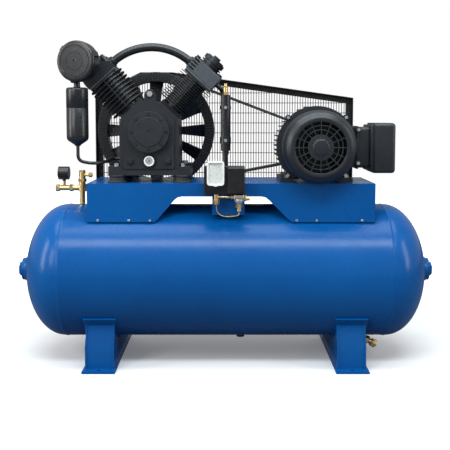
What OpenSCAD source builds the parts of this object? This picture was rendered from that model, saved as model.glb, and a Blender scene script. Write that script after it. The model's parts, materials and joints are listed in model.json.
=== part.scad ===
// Belt-driven two-stage V-twin air compressor on a horizontal receiver.
// Millimetres. Origin: centre of the four anchor holes, on the floor. +X right, +Y back, +Z up.

/* [Receiver] */
// Outer radius of the tank shell
tank_r = 250; // [200:1:300]
// Half length of the tank over the dished ends
tank_half = 750; // [600:5:900]
// Half length of the cylindrical shell course
tank_straight = 600; // [450:5:700]
// Height of the tank axis above the floor
tank_z = 330; // [290:1:380]
// Shell thickness
tank_wall = 5; // [3:0.5:10]

/* [Feet] */
// Distance from the middle to each foot
foot_x = 452; // [350:1:550]
// Width of a foot along the tank
foot_w = 118; // [100:2:160]
// Distance from the middle to each anchor hole across the tank
anchor_y = 232; // [226:1:240]
// Radius of an anchor hole
anchor_r = 7; // [4:0.5:12]
// Thickness of the foot plate
foot_t = 8; // [4:0.5:12]

/* [Deck] */
// Left end of the deck
deck_x0 = -500; // [-600:5:-400]
// Right end of the deck
deck_x1 = 540; // [400:5:640]
// Half depth of the deck
deck_y = 155; // [130:1:200]
// Top of the deck
deck_z = 670; // [620:1:720]
// Deck sheet thickness
deck_t = 5; // [3:0.5:8]

/* [Pump] */
// Crank axis, left and right
crank_x = -277; // [-350:1:-200]
// Crank axis height
crank_z = 855; // [800:1:900]
// Angle of each cylinder from the vertical
vee = 42; // [30:1:45]
// Crank throw, half the stroke
throw = 25; // [15:1:35]
// Connecting rod length between centres
rod_l = 126; // [100:1:140]
// Bore radius of the low pressure cylinder
low_bore = 44; // [38:0.5:48]
// Bore radius of the high pressure cylinder
high_bore = 38; // [36:0.5:44]
// Cylinder stagger along the crank
stagger = 13; // [12:0.5:20]
// Outer radius of the cooling fins
fin_r = 74; // [60:1:80]

/* [Drive] */
// Flywheel outer radius
fly_r = 232; // [180:1:240]
// Motor pulley outer radius
pul_r = 65; // [45:1:90]
// Front face of flywheel and pulley
rim_y0 = 165; // [160:1:180]
// Rim width
rim_w = 65; // [40:1:80]
// Groove depth
groove_d = 11; // [8:0.5:14]

/* [Motor] */
// Motor axis, left and right
motor_x = 333; // [280:1:400]
// Shaft height above the deck
shaft_h = 132; // [100:1:160]
// Radius of the motor frame
motor_r = 122; // [100:1:130]
// Half spacing of the motor foot holes
motor_a = 108; // [90:1:120]
// Radius of the cable entry in the terminal cover
entry_r = 16; // [8:0.5:20]

/* [Ports] */
// Radius of the air outlet bore
outlet_r = 6; // [4:0.5:10]
// Depth of the air outlet bore
outlet_l = 20; // [10:1:30]

/* [Hidden] */
$fn = 64;
gap = 0.05;
motor_z = deck_z + shaft_h;
rim_y1 = rim_y0 + rim_w;
case_y = 115;
shoulder = 106;
cyl_top = 260;
plate_t = 4;
head_t = 56;
head_w = 63;
head_y = 63;
journal_r = 20;
pin_r = 16;
web_y0 = 31;
web_y1 = 45;
nose_r = 18;
motor_shaft_r = 19;
guard_y0 = 236;
guard_y1 = 285;
guard_mid = [[-518, 618], [-518, 991], [-342, 1077], [-216, 1077], [508, 976], [508, 618]];
guard_out = [[-530, 605], [-530, 1000], [-345, 1090], [-215, 1090], [520, 987], [520, 605]];
guard_rim = [[-526, 609], [-526, 997.5], [-344, 1086], [-215.3, 1086], [516, 983.5], [516, 609]];
guard_in = [[-505, 630], [-505, 984], [-339, 1065], [-217, 1065], [495, 965], [495, 630]];
case_out = [[-108, -140], [108, -140], [106, 47], [35.4, 110.6], [-35.4, 110.6], [-106, 47]];
case_in = [[-98, -130], [98, -130], [96, 42], [31, 100], [-31, 100], [-96, 42]];
case_pad = [[-90, -134], [90, -134], [92, 42], [30, 96], [-30, 96], [-92, 42]];
apron = [[deck_x0, deck_z], [deck_x0, 530.5], [-254, 530.5], [-185, 610], [-172, 620], [-158, 623],
         [130, 623], [144, 620], [157, 610], [237, 530.5], [deck_x1, 530.5], [deck_x1, deck_z]];
screw_x = [-461, -349, -273, 257, 329, 492];
iso_dx = 120;
iso_y = 95;
iso_h = 27;
iso_r = 32;
case_base = -158;
lug_top = crank_z - 126;
lid_x0 = 545;
lid_x1 = 622;
entry_x = 583;
entry_z = 795;
boss_r = 46;
head_top = cyl_top + plate_t + head_t;
wrist_z = 203;
pad_top = deck_z + 17;
motor_b = 89;
drive_dx = motor_x - crank_x;
drive_dz = motor_z - crank_z;
drive_c = sqrt(drive_dx * drive_dx + drive_dz * drive_dz);
drive_a = atan2(drive_dz, drive_dx);
wrap_a = acos((fly_r - pul_r) / drive_c);
stand_x = -543;
riser_y = -100;
drain_x = 522;
drain_tilt = 118.4;
filter_x = -526;
filter_y = -205;
filter_z = 1103;
filter_yaw = 17;
filter_r = 72.5;
bottle_x = -528;
bottle_y = -160;
// Angle and distance from the motor axis of each lug on the front end shield
shield_ears = [[45, 149], [135, 149], [225, 149], [315, 149], [22, 163], [-22, 163]];

// ---- shared shapes ----

function arc_pts(cx, cz, r, a0, a1, n) =
    [for (i = [0:n]) let(a = a0 + (a1 - a0) * i / n) [cx + r * cos(a), cz + r * sin(a)]];

function on_line(a, b, x) = a[1] + (b[1] - a[1]) * (x - a[0]) / (b[0] - a[0]);

function lerp_z(pts, x, i = 1) =
    x <= pts[i + 1][0] ? on_line(pts[i], pts[i + 1], x) : lerp_z(pts, x, i + 1);

module ycyl(x, z, y0, y1, r) {
    translate([x, y0, z]) rotate([-90, 0, 0]) cylinder(h = y1 - y0, r = r);
}

module xcyl(y, z, x0, x1, r) {
    translate([x0, y, z]) rotate([0, 90, 0]) cylinder(h = x1 - x0, r = r);
}

module zcyl(x, y, z0, z1, r) {
    translate([x, y, z0]) cylinder(h = z1 - z0, r = r);
}

module box(x0, x1, y0, y1, z0, z1) {
    translate([x0, y0, z0]) cube([x1 - x0, y1 - y0, z1 - z0]);
}

module xz_plate(pts, y0, y1) {
    translate([0, y1, 0]) rotate([90, 0, 0]) linear_extrude(y1 - y0) polygon(pts);
}

module yz_plate(pts, x0, x1) {
    translate([x0, 0, 0]) rotate([90, 0, 90]) linear_extrude(x1 - x0) polygon(pts);
}

module at_crank() {
    translate([crank_x, 0, crank_z]) children();
}

module on_cylinder(side) {
    at_crank() rotate([0, side * vee, 0]) children();
}

module pipe(pts, r) {
    for (i = [0:len(pts) - 2]) {
        d = pts[i + 1] - pts[i];
        l = norm(d);
        translate(pts[i]) rotate([0, acos(d[2] / l), atan2(d[1], d[0])]) cylinder(h = l, r = r);
        if (i > 0) translate(pts[i]) sphere(r = r + 0.4);
    }
}

function unit(v) = v / norm(v);

// Smooth route through the middles of the legs between the given points
function bend(a, b, c, t) = (1 - t) * (1 - t) * (a + b) / 2 + 2 * t * (1 - t) * b + t * t * (b + c) / 2;

function route(p, n = 5) = concat([p[0]],
    [for (i = [1:len(p) - 2], k = [0:n]) bend(p[i - 1], p[i], p[i + 1], k / n)],
    [p[len(p) - 1]]);

// Round tube along a route; side is a direction that the route never takes
module swept(p, r, side, n = 12) {
    last = len(p) - 1;
    rings = [for (i = [0:last])
        let(t = unit(p[min(i + 1, last)] - p[max(i - 1, 0)]), u = unit(cross(t, side)), v = cross(t, u))
        for (k = [0:n - 1]) p[i] + r * (cos(360 * k / n) * u + sin(360 * k / n) * v)];
    walls = [for (i = [0:last - 1], k = [0:n - 1]) let(m = (k + 1) % n)
        [i * n + k, (i + 1) * n + k, (i + 1) * n + m, i * n + m]];
    polyhedron(rings, concat(walls, [[for (k = [0:n - 1]) k]], [[for (k = [n - 1:-1:0]) last * n + k]]));
}

module hex(af, h) {
    cylinder(h = h, r = af / 2 / cos(30), $fn = 6);
}

module tank_solid(r, half, straight) {
    rise = half - straight;
    pts = concat([[0, -half]],
                 [for (a = [9:9:90]) [r * sin(a), -straight - rise * cos(a)]],
                 [for (a = [90:-9:9]) [r * sin(a), straight + rise * cos(a)]],
                 [[0, half]]);
    translate([0, 0, tank_z]) rotate([0, 90, 0]) rotate_extrude() polygon(pts);
}

module tank_cut() {
    xcyl(0, tank_z, -900, 900, tank_r);
}

// ---- receiver ----

module tank_shell() {
    color([0.02, 0.18, 0.55]) difference() {
        union() {
            tank_solid(tank_r, tank_half, tank_straight);
            xcyl(0, tank_z, tank_half - 14, tank_half + 12, boss_r);
            xcyl(0, tank_z, -tank_half - 12, 14 - tank_half, boss_r);
            zcyl(57, 0, 66, 90, 15);
        }
        tank_solid(tank_r - tank_wall, tank_half - tank_wall, tank_straight);
        for (s = [-1, 1]) xcyl(0, tank_z, s * tank_half - 40, s * tank_half + 40, 30);
        zcyl(stand_x, 0, 560, 590, 8);
        zcyl(0, riser_y, 530, 590, 7);
        zcyl(drain_x, 0, 60, 100, 6);
        zcyl(57, 0, 60, 80, 8);
    }
}

module end_plugs() {
    color([0.02, 0.2, 0.58]) for (s = [-1, 1])
        translate([s * (tank_half + 12), 0, tank_z]) rotate([0, s * 90, 0]) difference() {
            union() {
                translate([0, 0, -24]) cylinder(h = 24, r = 30);
                cylinder(h = 10, r = 42);
                translate([0, 0, 10]) hex(46, 13);
            }
            for (i = [0:5]) rotate([0, 0, 60 * i]) translate([34, 0, 4]) cylinder(h = 10, r = 4);
            translate([0, 0, 15]) cylinder(h = 10, r = 10);
        }
}

module foot() {
    strap_a = 56;
    web_x = 52;
    web_t = 6;
    base_y = anchor_y + 18;
    leg = [[-213, 4], [-213, 86], [-193, 122], [-193, 174],
           [-185, 174], [-185, 124], [-205, 88], [-205, 4]];
    web = [[-216, 4], [-216, 86], [-196, 122], [-196, 174],
           [196, 174], [196, 122], [216, 86], [216, 4]];
    color([0.02, 0.18, 0.52]) difference() {
        union() {
            translate([-foot_w / 2, 0, tank_z]) rotate([0, 90, 0]) rotate([0, 0, -strap_a])
                rotate_extrude(angle = 2 * strap_a) translate([tank_r, 0]) square([6, foot_w]);
            box(-foot_w / 2, foot_w / 2, -base_y, base_y, 0, foot_t);
            for (s = [-1, 1]) flip_y(s) yz_plate(leg, -web_x + web_t - 1, web_x - web_t + 1);
            for (x = [-web_x, web_x - web_t]) yz_plate(web, x, x + web_t);
        }
        translate([-100, 0, tank_z]) rotate([0, 90, 0]) cylinder(h = 200, r = tank_r);
        for (s = [-1, 1]) translate([0, s * anchor_y, -1]) cylinder(h = foot_t + 2, r = anchor_r);
    }
}

module flip_y(s) {
    if (s < 0) children();
    if (s > 0) mirror([0, 1, 0]) children();
}

module foot_left() {
    translate([-foot_x, 0, 0]) foot();
}

module foot_right() {
    translate([foot_x, 0, 0]) foot();
}

// ---- deck ----

module deck() {
    color([0.02, 0.22, 0.6]) difference() {
        union() {
            box(deck_x0, deck_x1, -deck_y, deck_y, deck_z - deck_t, deck_z);
            for (s = [-1, 1]) flip_y(s) {
                xz_plate(apron, -deck_y, -deck_y + deck_t);
                box(deck_x0, -254, -deck_y - 3, -deck_y, 530.5, 543);
                box(237, deck_x1, -deck_y - 3, -deck_y, 530.5, 543);
            }
        }
        zcyl(0, riser_y, 650, 680, 12);
        for (x = [-1, 1], y = [-1, 1]) zcyl(crank_x + x * iso_dx, y * iso_y, 650, 680, 6);
        for (x = [-1, 1], y = [-1, 1]) zcyl(motor_x + x * motor_a, y * motor_b, 650, 680, 6);
    }
}

module deck_screws() {
    color([0.7, 0.72, 0.75]) for (x = screw_x, s = [-1, 1])
        translate([x, s * (deck_y + 3), 536.5]) rotate([-s * 90, 0, 0]) cylinder(h = 3, r = 4.5);
}

module switch_bracket() {
    color([0.02, 0.2, 0.56]) difference() {
        union() {
            box(-48, 69, -155, -151, 556, 623);
            box(-48, -44, -151, -96, 556, 600);
            box(65, 69, -151, -96, 556, 600);
        }
        tank_cut();
    }
}

module isolators() {
    color([0.06, 0.06, 0.06]) for (x = [-1, 1], y = [-1, 1])
        translate([crank_x + x * iso_dx, y * iso_y, deck_z]) difference() {
            union() {
                cylinder(h = 5, r = iso_r + 3);
                translate([0, 0, 5]) cylinder(h = iso_h - 10, r = iso_r - 3);
                translate([0, 0, iso_h - 5]) cylinder(h = 5, r = iso_r + 1);
            }
            translate([0, 0, -1]) cylinder(h = iso_h + 2, r = 6);
        }
}

module mount_bolts() {
    color([0.5, 0.5, 0.52]) {
        for (x = [-1, 1], y = [-1, 1]) translate([crank_x + x * iso_dx, y * iso_y, 0]) {
            zcyl(0, 0, deck_z - deck_t, lug_top, 6);
            translate([0, 0, lug_top]) cylinder(h = 2, r = 11);
            translate([0, 0, lug_top + 2]) hex(19, 9);
            translate([0, 0, deck_z - deck_t - 10]) hex(19, 10);
        }
        at_crank() translate([0, -84, 138]) rotate([90, 0, 0]) hex(19, 9);
        for (z = [824, 943]) translate([0, riser_y - 20, z]) rotate([90, 0, 0]) hex(11, 6);
        for (e = shield_ears) at_ear(e) rotate([90, 0, 0]) hex(11, 6);
        for (x = [-1, 1], y = [-1, 1]) translate([motor_x + x * motor_a, y * motor_b, 0]) {
            zcyl(0, 0, deck_z - deck_t, pad_top, 6);
            translate([0, 0, pad_top]) hex(19, 9);
            translate([0, 0, deck_z - deck_t - 10]) hex(19, 10);
        }
    }
}

// ---- pump ----

module crankcase() {
    color([0.1, 0.105, 0.11]) at_crank() difference() {
        union() {
            xz_plate(case_out, -case_y, case_y);
            xz_plate(case_pad, -case_y - 6, -case_y);
            box(-150, 150, -case_y - 5, case_y + 5, case_base, case_base + 18);
            for (x = [-150, 100], y = [-120, 70]) box(x, x + 50, y, y + 50, case_base + 17, -126);
            for (s = [-1, 1]) rotate([0, s * vee, 0]) box(-47.5, 47.5, -56, 56, shoulder - 12, shoulder);
        }
        difference() {
            xz_plate(case_in, -case_y + 12, case_y - 12);
            ycyl(0, -110, -110, -98, 20);
        }
        ycyl(0, 0, -case_y - 7, -90, 55);
        ycyl(0, 0, 90, case_y + 1, 55);
        rotate([0, -vee, 0]) zcyl(0, -stagger, 85, 125, low_bore + 1);
        rotate([0, vee, 0]) zcyl(0, stagger, 85, 125, high_bore + 1);
        ycyl(0, -106, -case_y - 7, -case_y + 2, 13);
        for (x = [-68, 68]) ycyl(x, -108, -case_y - 7, -case_y + 2, 8);
        for (x = [-1, 1], y = [-1, 1]) zcyl(x * iso_dx, y * iso_y, case_base - 1, -100, 6);
    }
}

module front_cover() {
    color([0.11, 0.115, 0.12]) at_crank() difference() {
        union() {
            ycyl(0, 0, -146, -121, 74);
            ycyl(0, 0, -149, -146, 52);
            ycyl(0, 0, -121, -86, 55);
        }
        ycyl(0, 0, -108, -80, 40);
        ycyl(0, 0, -116, -100, 24);
        ycyl(0, 0, -150, -147, 4);
        for (i = [0:7]) rotate([0, 45 * i, 0]) ycyl(63, 0, -150, -143, 5.5);
    }
}

module rear_cover() {
    color([0.11, 0.115, 0.12]) at_crank() difference() {
        union() {
            ycyl(0, 0, case_y, 132, 72);
            ycyl(0, 0, 88, case_y, 55);
        }
        ycyl(0, 0, 80, 112, 40);
        ycyl(0, 0, 100, 140, 22);
    }
}

module pump_bolts() {
    color([0.2, 0.2, 0.21]) {
        at_crank() for (i = [0:7]) rotate([0, 45 * i, 0]) ycyl(63, 0, -148, -143, 4.5);
        for (s = [-1, 1]) on_cylinder(s) {
            for (x = [-52, 52], y = [-52, 52]) translate([x, s * stagger + y, head_top]) hex(15, 8);
            for (x = [-40, 40], y = [-40, 40]) translate([x, s * stagger + y, shoulder + 12]) hex(9, 7);
        }
    }
}

module bearings() {
    color([0.6, 0.61, 0.63]) {
        at_crank() for (y = [-108, 90]) difference() {
            ycyl(0, 0, y, y + 22, 40);
            ycyl(0, 0, y - 1, y + 23, journal_r + gap);
        }
        for (y = [-108, 112]) difference() {
            ycyl(motor_x, motor_z, y, y + 16, 31);
            ycyl(motor_x, motor_z, y - 1, y + 17, motor_shaft_r + gap);
        }
    }
}

module sight_glass() {
    color([0.85, 0.87, 0.88]) at_crank() difference() {
        union() {
            ycyl(0, -106, -134, -121, 19);
            ycyl(0, -106, -121, -113, 13);
        }
        ycyl(0, -106, -135, -129, 14);
    }
}

module case_plugs() {
    color([0.08, 0.08, 0.085]) at_crank() for (x = [-68, 68])
        translate([x, -113, -108]) rotate([90, 0, 0]) {
            cylinder(h = 8, r = 8);
            translate([0, 0, 8]) cylinder(h = 4, r = 13);
            translate([0, 0, 12]) hex(14, 7);
        }
}

module lifting_lug() {
    color([0.12, 0.125, 0.13]) at_crank() {
        difference() {
            union() {
                box(-21, 21, -84, -60, 110.6, 138);
                ycyl(0, 138, -84, -60, 17);
            }
            ycyl(0, 138, -90, -50, 7);
        }
    }
}

module crankshaft() {
    color([0.45, 0.46, 0.48]) at_crank() {
        union() {
            ycyl(0, 0, -112, -web_y1, journal_r);
            ycyl(0, 0, web_y1, 140, journal_r);
            ycyl(0, 0, 140, rim_y1, nose_r);
            ycyl(0, 0, rim_y1, rim_y1 + 4, 28);
            translate([0, rim_y1 + 4, 0]) rotate([-90, 0, 0]) hex(24, 12);
            ycyl(0, throw, -web_y0, web_y0, pin_r);
            for (s = [-1, 1]) {
                ycyl(0, throw, s > 0 ? web_y0 : -web_y1, s > 0 ? web_y1 : -web_y0, 24);
                box(-30, 30, s > 0 ? web_y0 : -web_y1, s > 0 ? web_y1 : -web_y0, -30, 25);
                difference() {
                    ycyl(0, 0, s > 0 ? web_y0 : -web_y1, s > 0 ? web_y1 : -web_y0, 68);
                    box(-80, 80, -60, 60, -10, 80);
                }
            }
        }
    }
}

module rim_profile(r, depth) {
    gw = 17;
    polygon([[r - depth, 0], [r - depth, rim_w], [r, rim_w], [r, rim_w - 12], [r - groove_d, rim_w - 12],
             [r - groove_d, rim_w - 12 - gw], [r, rim_w - 12 - gw], [r, 12 + gw], [r - groove_d, 12 + gw],
             [r - groove_d, 12], [r, 12], [r, 0]]);
}

module flywheel() {
    color([0.07, 0.07, 0.075]) translate([crank_x, 0, crank_z]) difference() {
        union() {
            translate([0, rim_y1, 0]) rotate([90, 0, 0]) rotate_extrude() rim_profile(fly_r, 38);
            ycyl(0, 0, rim_y0, rim_y1, 48);
            for (i = [0:11]) rotate([0, 30 * i, 0]) translate([0, rim_y0 + rim_w / 2, 0]) rotate([24, 0, 0])
                xz_plate([[40, -9], [212, -30], [212, 30], [40, 9]], -3, 3);
        }
        ycyl(0, 0, rim_y0 - 1, rim_y1 + 1, nose_r);
    }
}

module rod(side, y0) {
    at_crank() translate([0, y0, throw]) rotate([0, side * vee, 0]) difference() {
        union() {
            ycyl(0, 0, 0, 20, 25);
            ycyl(0, rod_l, 0, 20, 10.5);
            box(-7, 7, 4, 16, 18, rod_l - 5);
        }
        ycyl(0, 0, -1, 21, pin_r + gap);
        ycyl(0, rod_l, -1, 21, 8.05);
    }
}

module low_rod() {
    color([0.55, 0.56, 0.58]) rod(-1, -23);
}

module high_rod() {
    color([0.55, 0.56, 0.58]) rod(1, 3);
}

module piston(side, r) {
    on_cylinder(side) translate([0, side * stagger, wrist_z - 13]) difference() {
        cylinder(h = 44, r = r - gap);
        translate([0, 0, -1]) cylinder(h = 33, r = r - 6);
        for (z = [36, 40]) translate([0, 0, z]) rotate_extrude() translate([r - 2, 0]) square([3, 1.5]);
        ycyl(0, 13, -r - 1, r + 1, 8);
    }
}

module low_piston() {
    color([0.7, 0.71, 0.73]) piston(-1, low_bore);
}

module high_piston() {
    color([0.7, 0.71, 0.73]) piston(1, high_bore);
}

module low_pin() {
    half = low_bore - 3;
    color([0.6, 0.6, 0.62]) on_cylinder(-1) ycyl(0, wrist_z, -stagger - half, -stagger + half, 8);
}

module high_pin() {
    half = high_bore - 3;
    color([0.6, 0.6, 0.62]) on_cylinder(1) ycyl(0, wrist_z, stagger - half, stagger + half, 8);
}

module finned(side, r, n, t) {
    on_cylinder(side) translate([0, side * stagger, 0]) difference() {
        union() {
            translate([0, 0, shoulder]) cylinder(h = cyl_top - shoulder, r = r + 7);
            translate([-47.5, -47.5, shoulder]) cube([95, 95, 12]);
            translate([-60, -60, cyl_top - 8]) cube([120, 120, 8]);
            for (i = [0:n - 1]) translate([0, 0, 129 + i * 119 / (n - 1)]) cylinder(h = t, r = fin_r);
            box(-1.6, 1.6, -fin_r + 0.5, -r - 2, 124, 254);
        }
        translate([0, 0, shoulder - 1]) cylinder(h = cyl_top - shoulder + 2, r = r);
    }
}

module low_cylinder() {
    color([0.09, 0.095, 0.1]) finned(-1, low_bore, 9, 3.6);
}

module high_cylinder() {
    color([0.09, 0.095, 0.1]) finned(1, high_bore, 14, 2.4);
}

module valve_plates() {
    color([0.5, 0.5, 0.52]) for (s = [-1, 1]) on_cylinder(s)
        box(-60, 60, s * stagger - 60, s * stagger + 60, cyl_top, cyl_top + plate_t);
}

module low_head() {
    z0 = cyl_top + plate_t;
    color([0.1, 0.105, 0.11]) on_cylinder(-1) translate([0, -stagger, 0]) difference() {
        union() {
            difference() {
                box(-head_w, head_w, -head_y, head_y, z0, z0 + head_t);
                for (x = [-1, 1]) ycyl(x * (head_w + 8), z0 + head_t + 4, -head_y - 1, head_y + 1, 32);
            }
            for (x = [-1, 1], y = [-1, 1]) zcyl(x * 52, y * 52, z0 + 20, z0 + head_t, 10.5);
            for (x = [-58, 42]) box(x, x + 16, -12, 36, z0 + 20, z0 + head_t);
        }
        xcyl(stagger, z0 + head_t / 2, head_w - 30, head_w + 5, 12);
        zcyl(0, 0, z0 - 1, z0 + 20, 34);
    }
}

module high_head() {
    z0 = cyl_top + plate_t;
    color([0.1, 0.105, 0.11]) on_cylinder(1) translate([0, stagger, 0]) difference() {
        box(-head_w, head_w, -head_y, head_y, z0, z0 + head_t);
        for (z = [z0 + 8:12:z0 + 44]) box(-head_w - 1, -head_w + 30, -head_y - 1, -head_y + 14, z, z + 5);
        zcyl(0, 0, z0 - 1, z0 + 20, 30);
    }
}

module high_cap() {
    color([0.1, 0.105, 0.11]) on_cylinder(1) translate([0, stagger, head_top]) difference() {
        union() {
            cylinder(h = 42, r = 36);
            for (z = [2, 12]) translate([0, 0, z]) cylinder(h = 5, r = 43);
            translate([0, 0, 22]) cylinder(h = 16, r = 43);
            translate([0, 0, 42]) hex(26, 9);
        }
        for (i = [0:7]) rotate([0, 0, 22.5 + 45 * i]) box(39, 50, -4, 4, 25, 39);
    }
}

module intercooler() {
    arc_r = 219.7;
    port_z = cyl_top + plate_t + head_t / 2 - 0.5;
    color([0.08, 0.085, 0.09]) {
        translate([crank_x, 0, 949.4]) rotate([90, 0, 0]) rotate([0, 0, 50]) rotate_extrude(angle = 80)
            translate([arc_r, 0]) circle(r = 15.5);
        on_cylinder(-1) xcyl(0, port_z, head_w, head_w + 12, 21);
        on_cylinder(1) xcyl(0, port_z, -head_w - 12, -head_w, 21);
    }
}

module at_filter() {
    translate([filter_x, filter_y, filter_z]) rotate([0, 0, -filter_yaw]) children();
}

module intake_elbow() {
    color([0.1, 0.105, 0.11]) difference() {
        union() {
            on_cylinder(-1) box(-36, 36, -60, 20, head_top, head_top + 32);
            at_filter() ycyl(0, 0, 84.3, 165, 26);
            at_filter() ycyl(0, 0, 84.3, 93, 40);
        }
        on_cylinder(-1) box(-80, 80, -90, 60, 100, head_top);
    }
}

module filter_cover() {
    color([0.09, 0.09, 0.095]) at_filter() difference() {
        union() {
            ycyl(0, 0, 0, 20, filter_r);
            ycyl(0, 0, -3, 0, 54);
        }
        ycyl(0, 0, -4, -1.5, 4);
        ycyl(0, 0, 6, 21, filter_r - 5);
    }
}

module filter_body() {
    r = filter_r;
    outside = [[r - 2, 20.3], [r - 2, 46], [r - 12, 76], [r - 24, 84], [22, 84]];
    inside = [[22, 80], [r - 27, 80], [r - 16, 73], [r - 6, 45], [r - 6, 20.3]];
    color([0.09, 0.09, 0.095]) at_filter() rotate([-90, 0, 0]) rotate_extrude()
        polygon(concat(outside, inside));
}

module breather_bottle() {
    color([0.08, 0.08, 0.085]) difference() {
        union() {
            translate([bottle_x, bottle_y, 0]) rotate_extrude()
                polygon([[0, 805], [9, 805], [36, 826], [39, 832], [39, 1010], [36, 1013], [0, 1013]]);
            zcyl(bottle_x, bottle_y, 1010, 1050, 10);
        }
        at_filter() ycyl(0, 0, -4, 110, filter_r + 0.3);
        translate([bottle_x, bottle_y, 0]) rotate_extrude()
            polygon([[0, 812], [33, 834], [36, 838], [36, 1007], [0, 1007]]);
    }
}

module breather_tube() {
    pts = [[bottle_x, bottle_y, 804.7], [bottle_x, bottle_y, 785], [bottle_x, bottle_y, 750],
           [-478, -150, 742], [-440, -112, 745], [-420, -50, 755], [-400, -50, 755], [-384.9, -50, 755]];
    color([0.08, 0.08, 0.085]) swept(route(pts), 6, [1, -1, 1]);
}

// ---- pipework ----

module discharge_pipe() {
    pts = [[-34.5, 13, 1029.6], [-14, 13, 1011.2], [0, -20, 985], [0, riser_y + 5, 975]];
    color([0.12, 0.13, 0.14]) difference() {
        union() {
            zcyl(0, riser_y, 786, 989, 17);
            zcyl(0, riser_y, 772, 786, 12);
            zcyl(0, riser_y, 540, 772, 9);
            zcyl(0, riser_y, 936, 950, 20);
            zcyl(0, riser_y, 812, 836, 20);
            pipe(pts, 9);
        }
        tank_cut();
    }
}

module relief_valve() {
    color([0.75, 0.5, 0.2]) translate([0, riser_y, 989]) {
        hex(19, 10);
        translate([0, 0, 10]) cylinder(h = 16, r = 8);
        translate([0, 0, 26]) hex(15, 6);
        translate([0, 0, 32]) cylinder(h = 9, r = 5.5);
    }
}

module switch_box() {
    color([0.05, 0.05, 0.055]) {
        box(-77, 68, -198, -155, 634, 735);
        box(8, 68, -222, -198, 640, 730);
    }
}

module switch_window() {
    color([0.88, 0.88, 0.88]) difference() {
        box(-66, -4, -226, -198, 664, 754);
        box(-60, -10, -227, -222, 670, 748);
    }
}

module switch_valve() {
    color([0.75, 0.74, 0.7]) difference() {
        box(30, 66, -206, -174, 600, 634);
        zcyl(48, -190, 590, 612, 6);
    }
}

module switch_fittings() {
    capillary = [[-33, -190, 599.7], [-33, -190, 590], [-31, -190, 572], [-16, -190, 558], [6, -190, 554],
                 [32, -190, 556], [48, -190, 560], [48, -190, 568], [48, -190, 573.7]];
    color([0.75, 0.52, 0.2]) {
        zcyl(-33, -190, 617, 634, 8);
        translate([-33, -190, 600]) hex(21, 17);
        xcyl(-190, 625, -25, 17.7, 4);
        translate([18, -190, 625]) rotate([0, 90, 0]) hex(15, 12);
        translate([66, -190, 620]) rotate([0, 90, 0]) hex(17, 9);
        xcyl(-190, 620, 75, 86, 7.5);
        zcyl(48, -190, 574, 587, 7);
        translate([48, -190, 587]) hex(22, 13);
        swept(route(capillary), 1.6, [0, 1, 0], 8);
    }
}

module outlet_manifold() {
    color([0.75, 0.52, 0.2]) difference() {
        union() {
            zcyl(stand_x, 0, 560, 640, 10);
            zcyl(stand_x, 0, 628, 656, 15);
            zcyl(stand_x, 0, 656, 700, 12);
            translate([stand_x, 0, 664]) hex(28, 12);
            translate([stand_x, 0, 700]) hex(20, 8);
            xcyl(0, 641, -643, stand_x, 10);
            translate([-643, 0, 641]) rotate([0, 90, 0]) hex(24, 14);
            translate([-590, 0, 641]) rotate([0, 90, 0]) hex(24, 12);
            zcyl(-612, 0, 641, 668, 6);
            xcyl(0, 690, stand_x, -504, 6);
            translate([-518, 0, 690]) rotate([0, 90, 0]) hex(17, 12);
        }
        tank_cut();
        xcyl(0, 641, -644, -643 + outlet_l, outlet_r);
    }
}

module gauge_case() {
    color([0.06, 0.06, 0.065]) difference() {
        union() {
            xcyl(0, 697, -632, -593, 25);
            zcyl(-612, 0, 668, 690, 7);
        }
        xcyl(0, 697, -633, -626, 22);
        xcyl(0, 697, -640, -618, 1 + gap);
    }
}

module gauge_needle() {
    color([0.8, 0.1, 0.08]) {
        xcyl(0, 697, -630, -629, 2.6);
        xcyl(0, 697, -629, -620, 1);
        translate([-630, 0, 697]) rotate([-135, 0, 0]) translate([0, -0.9, 0]) cube([1, 1.8, 16]);
    }
}

module at_drain() {
    translate([drain_x, 0, 66]) rotate([0, drain_tilt, 0]) children();
}

module drain_valve() {
    color([0.75, 0.52, 0.2]) difference() {
        union() {
            translate([drain_x, 0, 62]) hex(26, 17);
            zcyl(drain_x, 0, 70, 90, 11);
            at_drain() cylinder(h = 42, r = 11);
            at_drain() translate([0, 0, 18]) hex(27, 14);
        }
        tank_cut();
        at_drain() translate([0, 0, 24]) cylinder(h = 20, r = 4 + gap);
    }
}

module drain_knob() {
    color([0.75, 0.52, 0.2]) at_drain() {
        translate([0, 0, 27]) cylinder(h = 17, r = 4);
        difference() {
            union() {
                translate([0, 0, 44]) cylinder(h = 18, r = 15.5);
                translate([0, 0, 62]) cylinder(h = 4, r = 11);
            }
            for (i = [0:9]) rotate([0, 0, 36 * i]) translate([17, 0, 43]) cylinder(h = 20, r = 3);
        }
    }
}

// ---- motor ----

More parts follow.
